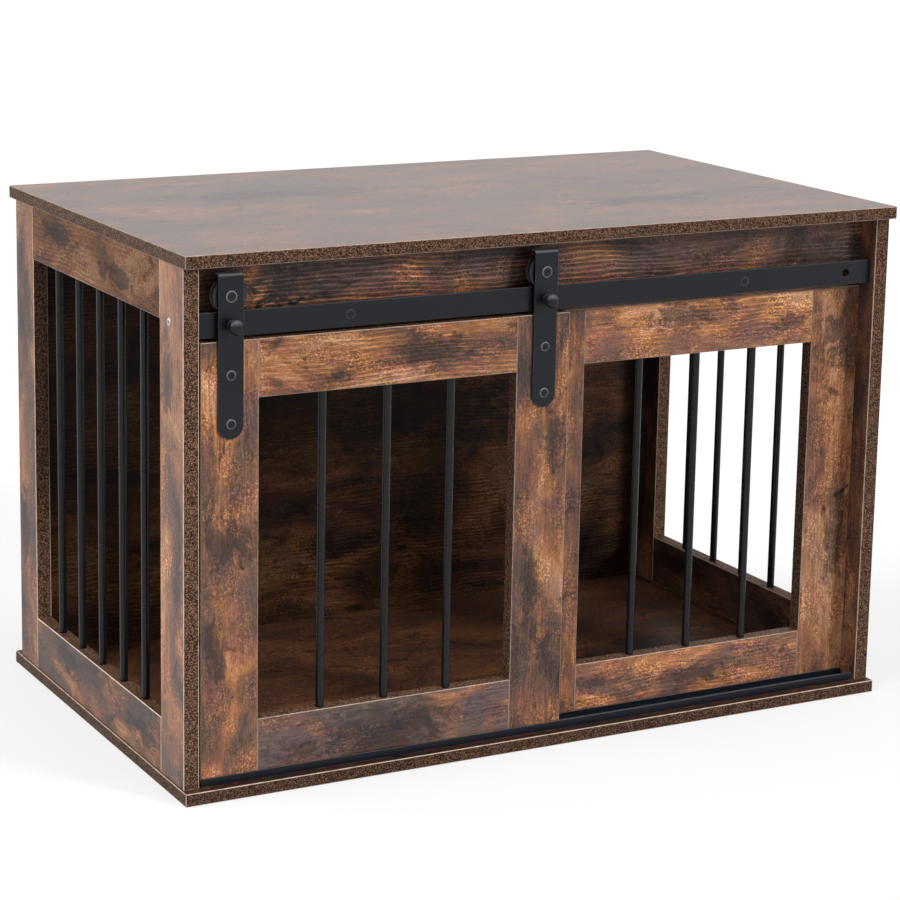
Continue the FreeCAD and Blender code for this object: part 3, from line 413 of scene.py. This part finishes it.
SLATE_SPREAD = 0.10         # how much more ground slate takes on a slaty board
TINGE_COVER = 0.55
NEUTRAL = (0.22, 0.22, 0.22)
STRAY_COVER = 0.7           # of stains that lie anywhere
STAIN_OR_SHADOW_COVER = 0.75          # of the two that each board names, some of them painted shadows
STAIN_OR_SHADOW_NUMBERS = (1, 2)
STAIN_OR_SHADOW_FRAY = 3.4            # how ragged the edge of a named stain or painted shadow is
CRACK_COVER = 0.75
FLECK_CLUMPS = 0.5          # clumps of flecks to the flecks themselves, in cells
EDGE_BAND_TINGE = 0.12      # how much of the print's colour the edge band takes
EDGE_BAND_LEAST = 0.55      # brightness of the edge band on a black board
EDGE_BAND_CLEAR = 0.04      # clear layer of the edge band to that of the print
PRINT_RELIEF = (0.35, 0.0004)    # its strength, and its depth in metres


class Print(Finish):
    """Laminate's finish. Its print runs along one axis of a piece, and plain faces look along another."""

    def __init__(self, name, look, run, face):
        super().__init__(name)
        self.look = look
        self.run = run
        self.face = face
        self.here = self.node("TexCoord", output="Object")
        self.place = self.vector("ADD", self.here, self.own("print_shift", "Vector"))
        sway = self.noise(self.scaled(self.place, SWAY_CELLS), output=1)
        sway = self.vector("SUBTRACT", sway, (MIDDLE,) * 3)
        self.wavy = self.vector("ADD", self.place, self.scaled(sway, SWAY_REACH))
        streaks = Mark(look.streak_length, look.streak_width, UNMOVED, 3.0, 0.65, 0.0)
        self.streaks = self.spread(self.marks(streaks), *NOISE_SPAN)
        self.bands = self.spread(self.marks(BANDS), *NOISE_SPAN)
        # Each board's brightness, lowered on the back panel and base board as painted shade of the crate's
        # inside.
        self.depth = self.own("print_depth", "Fac")
        self.ragged = self.marks(RAGGED)

    def cells(self, start, length, width, step=UNMOVED):
        """A place counted in cells that are long with the grain and narrow across it."""
        sizes = [1.0 / width] * 3
        sizes[AXES.index(self.run)] = 1.0 / length
        return self.scaled(self.vector("ADD", start, step), tuple(sizes))

    def marks(self, mark):
        """The noise of one kind of mark."""
        cells = self.cells(self.wavy, mark.length, mark.width, mark.step)
        return self.noise(cells, mark.detail, mark.roughness, mark.distortion)

    def speckle(self):
        """Fine pale and dark specks, strong in some patches and faint in others."""
        specks = self.grains(self.cells(self.place, self.look.speckle * SPECK_STRETCH, self.look.speckle))
        grainy = self.fade(self.marks(SPECKLED), *SPECKLED_EDGE)
        return (self.fade(specks, *SPECK_EDGE) - SPECK_MEAN) * (SPECK_FLOOR + grainy * (1.0 - SPECK_FLOOR))

    def ribs(self):
        """Ribs along the grain, and how strongly each place has them."""
        across = [axis for axis in AXES if axis not in (self.run, self.face)][0]
        turns = self.part(self.wavy, across) * (math.tau / self.look.rib_width)
        ribs = (turns + self.marks(RIB_DRIFT) * RIB_WANDER).wave()
        strength = self.own("print_ribs", "Fac")
        ribbed = self.fade(self.marks(RIBBED) + strength * RIB_SPREAD, *RIBBED_EDGE) * strength
        return self.fade(ribs + (self.streaks - MIDDLE) * RIB_FRAY, *RIB_EDGE), ribbed

    def browns(self, speckle):
        """Patches from deep brown through rust to tan."""
        look = self.look
        contrast = TOP_CONTRAST if self.face == "Z" else CONTRAST
        clouds = Mark(look.cloud_length, look.cloud_width, UNMOVED, 6.0, 0.60, 0.7)
        tone = self.marks(clouds) * contrast + MIDDLE * (1.0 - contrast) + self.own("print_warmth", "Fac")
        tone = tone + (self.bands - MIDDLE) * BAND_TONE
        tone = tone + (self.streaks - MIDDLE) * STREAK_TONE + speckle * SPECK_TONE
        browns = (look.deep, look.brown, look.rust, look.amber, look.tan)
        return self.node("ValToRGB", {"stops": list(zip(BROWN_STOPS, browns))}, {0: tone})

    def slate(self):
        """One where the print is weathered to slate."""
        slaty = self.own("print_slate", "Fac")
        slate = self.marks(SLATE) + (self.streaks - MIDDLE) * STREAK_TONE + (slaty - MIDDLE) * SLATE_SPREAD
        return self.fade(slate, *SLATE_EDGE) * slaty

    def tinged(self, colour):
        """A colour with a plum or an olive tinge here and there."""
        tinge = self.noise(self.scaled(self.wavy, TINGE_CELLS), 4.0, 0.7)
        stops = list(zip(TINGE_STOPS, (self.look.plum, NEUTRAL, self.look.olive)))
        tinge = self.node("ValToRGB", {"stops": stops}, {0: tinge})
        return self.mix(TINGE_COVER, colour, tinge, "SOFT_LIGHT")

    def board_stain(self, number):
        """One in the middle of a stain that the board names, with a ragged edge; some of these are painted
        shadows.
        """
        centre = self.own(f"stain_{number}_place", "Vector")
        stretch = self.own(f"stain_{number}_stretch", "Vector")
        away = self.vector("MULTIPLY", self.vector("SUBTRACT", self.here, centre), stretch)
        distance = self.node("VectorMath", {"operation": "LENGTH"}, {0: away}, "Value")
        return 1.0 - self.fade(distance + (self.ragged - MIDDLE) * STAIN_OR_SHADOW_FRAY, *STAIN_OR_SHADOW_EDGE)

    def charred(self, colour):
        """A colour with charcoal stains and cracks, and the boards' painted shadows among the stains."""
        stain = self.fade(self.marks(STAINS), *STRAY_EDGE) * STRAY_COVER
        for number in STAIN_OR_SHADOW_NUMBERS:
            stain = stain + self.board_stain(number) * STAIN_OR_SHADOW_COVER
        colour = self.mix(stain, colour, self.look.char)
        crack = 1.0 - self.fade(abs(self.marks(CRACKS) - MIDDLE), *CRACK_EDGE)
        crack = crack * self.fade(self.ragged, *CRACKED_EDGE)
        return self.mix(crack * CRACK_COVER, colour, self.look.char)

    def edge_band(self, colour):
        """Dark band with light flecks, glued on the boards' edges."""
        look = self.look
        flecks = self.grains(self.scaled(self.place, 1.0 / look.fleck))
        clumps = self.noise(self.scaled(self.place, FLECK_CLUMPS / look.fleck), 2.0, 0.6)
        band = self.mix(self.fade(flecks * 0.8 + clumps * 0.3, *FLECK_EDGE), look.band, look.band_fleck)
        band = self.mix(EDGE_BAND_TINGE, band, colour, "MULTIPLY")
        return self.shade(band, EDGE_BAND_LEAST + self.depth * (1.0 - EDGE_BAND_LEAST))

    def arris(self):
        """How strongly the chamfers take their painted highlight: their normals lie between the axes, and
        they're rubbed unevenly.
        """
        flats = [self.facing(axis).above(SQUARE_ON) for axis in AXES]
        chamfer = 1.0 - (flats[0] + flats[1] + flats[2])
        rubbed = self.noise(self.scaled(self.place, RUBBED_CELLS), 3.0, 0.6)
        return chamfer * self.spread(rubbed, 0.0, 0.6) * self.own("print_arris", "Fac")


def laminate(look, run, face):
    """Laminate printed as old boards: print along run, plain faces along face, edge band on the rest."""
    name = f"laminate_{run.lower()}_{face.lower()}"
    if name in bpy.data.materials:
        return bpy.data.materials[name]
    finish = Print(name, look, run, face)
    speckle = finish.speckle()
    ribs, ribbed = finish.ribs()
    slate = finish.slate()
    colour = finish.mix(slate * SLATE_COVER, finish.browns(speckle), look.slate)
    colour = finish.charred(finish.tinged(colour))

    light = 1.0 + (finish.streaks - MIDDLE) * STREAK_LIGHT[run] + speckle * SPECK_LIGHT * (1.0 - slate * 0.5)
    light = light + (finish.bands - MIDDLE) * BAND_LIGHT + (ribs - RIB_MEAN) * ribbed
    # The board's brightness, which on the back panel and base board is painted shade of the crate's inside.
    plain = finish.shade(colour, light * finish.depth)
    on_face = finish.facing(face).above(SQUARE_ON)
    body = finish.mix(on_face, finish.edge_band(colour), plain)

    emboss = finish.streaks * STREAK_HEIGHT + ribs * ribbed * RIB_HEIGHT + speckle * SPECK_HEIGHT
    clear = finish.own("print_gloss", "Fac") * (EDGE_BAND_CLEAR + on_face * (1.0 - EDGE_BAND_CLEAR))
    # The chamfers get a pale painted highlight.
    finish.set(base_color=finish.mix(finish.arris(), body, look.arris),
               roughness=look.roughness + (finish.bands - MIDDLE) * 0.1,
               normal=finish.relief(emboss, *PRINT_RELIEF), specular_ior_level=look.gloss,
               coat_weight=clear, coat_roughness=look.clear_roughness)
    return finish.material


# The small finishes. Cells of their textures in one metre, along each axis where they differ.
PEEL_CELLS = 700.0
PATCH_CELLS = 22.0
BOLT_CELLS = 900.0
NYLON_CELLS = 900.0
CLOUD_CELLS = 180.0
TURNING_CELLS = (2600.0, 500.0, 2600.0)
PORE_CELLS = (220.0, 1100.0, 1100.0)

EDGE_ROUND = 0.0007         # radius over which an edge's coat is worn and takes its painted highlight
EDGE_WEAR_AND_HIGHLIGHT = 0.4
SOCKET_SHADE_REACH = 0.003        # how near walls have to be for the painted shade in a bolt's socket

# Strength and depth in metres of each finish's fine relief
PEEL_RELIEF = (0.12, 0.0001)
BOLT_RELIEF = (0.10, 0.0001)
NYLON_RELIEF = (0.15, 0.0001)
PLATE_RELIEF = (0.10, 0.0001)
BEECH_RELIEF = (0.20, 0.0002)


def edge_mask(finish, radius):
    """Nearly one along sharp edges, where the rounded normal leaves the flat one, and that rounded normal."""
    rounded = finish.node("Bevel", {"samples": 6}, {"Radius": radius})
    flat = finish.node("NewGeometry", output="Normal")
    alike = finish.node("VectorMath", {"operation": "DOT_PRODUCT"}, {0: rounded, 1: flat}, "Value")
    return 1.0 - finish.fade(alike, 0.90, 0.995), rounded


def coated(name, colour, look, roughness, top_highlight):
    """Satin powder coat with a fine orange peel, paler along its worn edges, which stand in for their
    highlight too, and with a painted highlight where it faces up.
    """
    finish = Finish(name)
    place = finish.node("TexCoord", output="Object")
    peel = finish.noise(finish.scaled(place, PEEL_CELLS), 2.0, 0.6)
    patches = finish.noise(finish.scaled(place, PATCH_CELLS), 3.0, 0.55)
    edges, rounded = edge_mask(finish, EDGE_ROUND)
    # Painted highlight on faces that look up, and paler worn edges that also stand in for their highlight.
    upward_highlight = finish.fade(finish.part(finish.node("TexCoord", output="Normal"), "Z"), 0.15, 0.9)
    worn = finish.node("Math", {"operation": "MAXIMUM"}, {0: edges * EDGE_WEAR_AND_HIGHLIGHT, 1: upward_highlight * top_highlight})
    body = finish.shade(colour, 0.75 + patches * 0.5)
    finish.set(base_color=finish.mix(worn, body, look.coat_wear_and_highlight),
               roughness=roughness + (patches - MIDDLE) * 0.16 + (peel - MIDDLE) * 0.1,
               specular_ior_level=look.coat_gloss, normal=finish.relief(peel, *PEEL_RELIEF, Normal=rounded))
    return finish.material


def bolt_coated(name, look, steep, flat):
    """Black bolts with painted shade in their sockets, and a painted highlight on the rim where the head's
    face is steeper than flat.
    """
    finish = Finish(name)
    place = finish.node("TexCoord", output="Object")
    grain = finish.noise(finish.scaled(place, BOLT_CELLS), 3.0, 0.65)
    # Ambient occlusion gives painted shade in the socket and keeps the rim's painted highlight off the socket
    # walls.
    socket_ao = finish.node("AmbientOcclusion", {"samples": 8}, {"Distance": SOCKET_SHADE_REACH}, "AO")
    rim = (1.0 - finish.fade(finish.facing("Y"), steep, flat)) * finish.fade(socket_ao, 0.40, 0.70)
    surface = finish.mix(rim * (0.55 + grain * 0.5), look.coat, look.bolt_rim_highlight)
    finish.set(base_color=finish.shade(surface, finish.fade(socket_ao, 0.05, 0.65)), roughness=0.28 + grain * 0.12,
               specular_ior_level=look.coat_gloss, normal=finish.relief(grain, *BOLT_RELIEF))
    return finish.material


def moulded(name, colour):
    """Matt nylon with a fine grain."""
    finish = Finish(name)
    grain = finish.noise(finish.scaled(finish.node("TexCoord", output="Object"), NYLON_CELLS), 2.0, 0.6)
    finish.set(base_color=finish.shade(colour, 0.8 + grain * 0.4), roughness=0.36 + grain * 0.12,
               normal=finish.relief(grain, *NYLON_RELIEF))
    return finish.material


def plated(name, colour):
    """Metal with faint turning marks and a cloudy shine."""
    finish = Finish(name)
    place = finish.node("TexCoord", output="Object")
    clouds = finish.noise(finish.scaled(place, CLOUD_CELLS), 3.0, 0.6)
    marks = finish.noise(finish.scaled(place, TURNING_CELLS), 2.0, 0.6)
    finish.set(base_color=finish.shade(colour, 0.8 + clouds * 0.3), metallic=1.0,
               roughness=0.24 + clouds * 0.16, normal=finish.relief(marks, *PLATE_RELIEF))
    return finish.material


def bare_beech(name, colour):
    """Pale dowel wood with short dark pores."""
    finish = Finish(name)
    pores = finish.noise(finish.scaled(finish.node("TexCoord", output="Object"), PORE_CELLS), 3.0, 0.6)
    finish.set(base_color=finish.shade(colour, 0.75 + pores * 0.45), roughness=0.6 + pores * 0.15,
               normal=finish.relief(pores, *BEECH_RELIEF))
    return finish.material


def dress(nodes, material):
    """Give CAD nodes a finish in place of their plain one."""
    for name in nodes:
        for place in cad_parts[name].material_slots:
            place.material = material


def cut_from_print(names, look):
    """Give boards their laminate and say where in the print each is cut from."""
    for name in names:
        board = BOARDS[name]
        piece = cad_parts[name]
        piece["print_shift"] = board.shift
        piece["print_warmth"] = board.warmth
        piece["print_slate"] = board.slate
        piece["print_depth"] = board.depth
        piece["print_ribs"] = board.ribs
        piece["print_arris"] = board.arris
        piece["print_gloss"] = board.gloss
        for number, stain in zip(STAIN_OR_SHADOW_NUMBERS, board.stains):
            stretch = [1.0 / stain.width] * 3
            stretch[AXES.index(board.run)] = 1.0 / stain.length
            stretch[AXES.index(board.face)] = 0.0
            piece[f"stain_{number}_place"] = stain.place
            piece[f"stain_{number}_stretch"] = stretch
        dress([name], laminate(look, board.run, board.face))


def boards_of(*starts):
    """Names of the boards that start with any of these words."""
    return [name for name in BOARDS if name.startswith(starts)]


# Operators


class CRATE_OT_cabinet_boards(bpy.types.Operator):
    """Print the table top, base, back and apron"""

    bl_idname = "crate.cabinet_boards"
    bl_label = "Cabinet boards"

    def execute(self, context):
        cut_from_print(("top_board", "base_board", "back_panel", "apron_board"), context.scene.crate.laminate)
        return {"FINISHED"}


class CRATE_OT_side_frames(bpy.types.Operator):
    """Print both side frames"""

    bl_idname = "crate.side_frames"
    bl_label = "Side frames"

    def execute(self, context):
        cut_from_print(boards_of("left_", "right_"), context.scene.crate.laminate)
        return {"FINISHED"}


class CRATE_OT_front(bpy.types.Operator):
    """Print the fixed panel and the sliding door"""

    bl_idname = "crate.front"
    bl_label = "Panel and door"

    def execute(self, context):
        cut_from_print(boards_of("panel_", "door_"), context.scene.crate.laminate)
        return {"FINISHED"}


class CRATE_OT_bars(bpy.types.Operator):
    """Coat the round bars"""

    bl_idname = "crate.bars"
    bl_label = "Bars"

    def execute(self, context):
        look = context.scene.crate.metal
        dress(BARS, coated("bar_coat", look.bar, look, look.smooth_roughness, top_highlight=0.0))
        return {"FINISHED"}


class CRATE_OT_hanger(bpy.types.Operator):
    """Coat the rail, track, straps, bolts and knobs, and dress the rollers"""

    bl_idname = "crate.hanger"
    bl_label = "Rail and hangers"

    def execute(self, context):
        look = context.scene.crate.metal
        dress(STEEL, coated("black_coat", look.coat, look, look.coat_roughness, top_highlight=0.3))
        dress(STRAPS, coated("strap_coat", look.coat, look, look.coat_roughness, top_highlight=0.9))
        dress(KNOBS, coated("knob_coat", look.coat, look, look.smooth_roughness, top_highlight=0.4))
        dress(BOLTS, bolt_coated("bolt_coat", look, steep=0.68, flat=0.88))
        dress(RAIL_BOLTS, bolt_coated("rail_bolt_coat", look, steep=0.78, flat=0.94))
        dress(NYLON, moulded("roller_nylon", look.nylon))
        return {"FINISHED"}


class CRATE_OT_fixings(bpy.types.Operator):
    """Dress the plated fixings, the bushes and the dowels"""

    bl_idname = "crate.fixings"
    bl_label = "Fixings"

    def execute(self, context):
        look = context.scene.crate.metal
        dress(ZINC, plated("zinc_plate", look.zinc))
        dress(BRONZE, plated("bush_bronze", look.bronze))
        dress(DOWELS, bare_beech("beech", look.beech))
        return {"FINISHED"}


# Stage

Lamp = namedtuple("Lamp", "name heading height spread glints")

# The lamps: where each stands, in degrees right from the front and up, how wide it looks, in degrees,
# and whether it leaves glints. Without them the low key lamp leaves no glare on the table top.
KEY_LAMP = Lamp("key_lamp", 35.0, 22.0, 12.0, False)
SIDE_LAMP = Lamp("side_lamp", -100.0, 40.0, 50.0, True)
TOP_LAMP = Lamp("top_lamp", 0.0, 78.0, 30.0, True)

WHITE = (1.0, 1.0, 1.0)
BLACK = (0.0, 0.0, 0.0)
FLOOR_SIZE = 80.0
FLOOR_DROP = 0.0004        # below the base board, so that the two don't share a plane
CAMERA_SENSOR = 36.0       # millimetres
CAMERA_REACH = 200.0
CAMERA_PLACE = (-1.6685, -3.0788, 1.1800)
CAMERA_HEADING = -27.368
CAMERA_DIP = 11.569
CAMERA_ROLL = 0.841
CAMERA_SHIFT = (0.06, -0.12)


def seen_rays(nodes):
    """One for rays from the camera, off shiny metal or through glass, nothing for light that spreads."""
    camera, glossy, through = [nodes.node("LightPath", output=f"Is {kind} Ray")
                               for kind in ("Camera", "Glossy", "Transmission")]
    return nodes.node("Math", {"operation": "ADD", "use_clamp": True}, {0: camera + glossy, 1: through})


def floor_finish(colour, lift):
    """Plain pale floor, lifted to white where nothing shades it."""
    finish = Finish("pale_floor")
    finish.material.cycles.emission_sampling = "NONE"
    glow = finish.mix(seen_rays(finish), BLACK, (lift, lift, lift))
    finish.set(base_color=colour, roughness=1.0, specular_ior_level=0.0,
               emission_color=glow, emission_strength=1.0)
    return finish.material


def make_floor(colour, lift):
    """A wide square under the table."""
    half = FLOOR_SIZE / 2
    mesh = bpy.data.meshes.new("floor")
    corners = [(half * x, half * y, -FLOOR_DROP) for x, y in ((-1, -1), (1, -1), (1, 1), (-1, 1))]
    mesh.from_pydata(corners, [], [(0, 1, 2, 3)])
    floor = bpy.data.objects.new("floor", mesh)
    bpy.context.scene.collection.objects.link(floor)
    mesh.materials.append(floor_finish(colour, lift))


def hang_lamp(lamp, strength):
    """A soft lamp so far off that it lights the whole floor alike."""
    light = bpy.data.lights.new(lamp.name, "SUN")
    light.angle = math.radians(lamp.spread)
    light.energy = strength
    holder = bpy.data.objects.new(lamp.name, light)
    bpy.context.scene.collection.objects.link(holder)
    holder.rotation_euler = (math.radians(90.0 - lamp.height), 0.0, math.radians(lamp.heading))
    holder.visible_glossy = lamp.glints


def make_world(strength):
    """Plain white all round: full white to the eye and in reflections, softer as light."""
    world = bpy.data.worlds.new("studio")
    bpy.context.scene.world = world
    world.use_nodes = True
    world.cycles.sampling_method = "NONE"
    nodes = Nodes(world.node_tree)
    level = nodes.node("MapRange", {}, {"Value": seen_rays(nodes), "To Min": strength, "To Max": 1.0})
    sky = nodes.node("Background", {}, {"Color": WHITE, "Strength": level})
    shown = nodes.tree.nodes.new("ShaderNodeOutputWorld")
    nodes.join(sky, shown.inputs[0])


def make_camera(lens):
    """Camera at the front left, a little above the table top."""
    camera = bpy.data.cameras.new("camera")
    camera.sensor_width = CAMERA_SENSOR
    camera.lens = lens
    camera.shift_x, camera.shift_y = CAMERA_SHIFT
    camera.clip_end = CAMERA_REACH
    holder = bpy.data.objects.new("camera", camera)
    bpy.context.scene.collection.objects.link(holder)
    turn = Matrix.Rotation(math.radians(CAMERA_HEADING), 4, "Z")
    tip = Matrix.Rotation(math.radians(90.0 - CAMERA_DIP), 4, "X")
    roll = Matrix.Rotation(math.radians(CAMERA_ROLL), 4, "Z")
    holder.matrix_world = Matrix.Translation(CAMERA_PLACE) @ turn @ tip @ roll
    bpy.context.scene.camera = holder


class CRATE_OT_stage(bpy.types.Operator):
    """Lay the floor, hang the lamps and set up the camera"""

    bl_idname = "crate.stage"
    bl_label = "Stage"

    def execute(self, context):
        look = context.scene.crate.stage
        make_floor(look.floor, look.floor_lift)
        make_world(look.sky_light)
        hang_lamp(KEY_LAMP, look.key_power)
        hang_lamp(SIDE_LAMP, look.side_power)
        hang_lamp(TOP_LAMP, look.top_power)
        make_camera(look.lens)
        context.scene.view_settings.view_transform = "Standard"
        return {"FINISHED"}


MAKERS = (CRATE_OT_cabinet_boards, CRATE_OT_side_frames, CRATE_OT_front, CRATE_OT_bars, CRATE_OT_hanger,
          CRATE_OT_fixings, CRATE_OT_stage)


class CRATE_PT_sidebar(bpy.types.Panel):
    """Lists the makers of the table's looks"""

    bl_label = "Dog crate table"
    bl_idname = "CRATE_PT_sidebar"
    bl_space_type = "VIEW_3D"
    bl_region_type = "UI"
    bl_category = "Crate"

    def draw(self, context):
        for maker in MAKERS:
            self.layout.operator(maker.bl_idname)


CLASSES = (LaminateLook, MetalLook, StageLook, CrateLook, *MAKERS, CRATE_PT_sidebar)


def register():
    for each in CLASSES:
        bpy.utils.register_class(each)
    bpy.types.Scene.crate = PointerProperty(type=CrateLook)


def unregister():
    del bpy.types.Scene.crate
    for each in reversed(CLASSES):
        bpy.utils.unregister_class(each)


def main():
    register()
    bpy.ops.crate.cabinet_boards()
    bpy.ops.crate.side_frames()
    bpy.ops.crate.front()
    bpy.ops.crate.bars()
    bpy.ops.crate.hanger()
    bpy.ops.crate.fixings()
    bpy.ops.crate.stage()


if __name__ == "__main__":
    main()
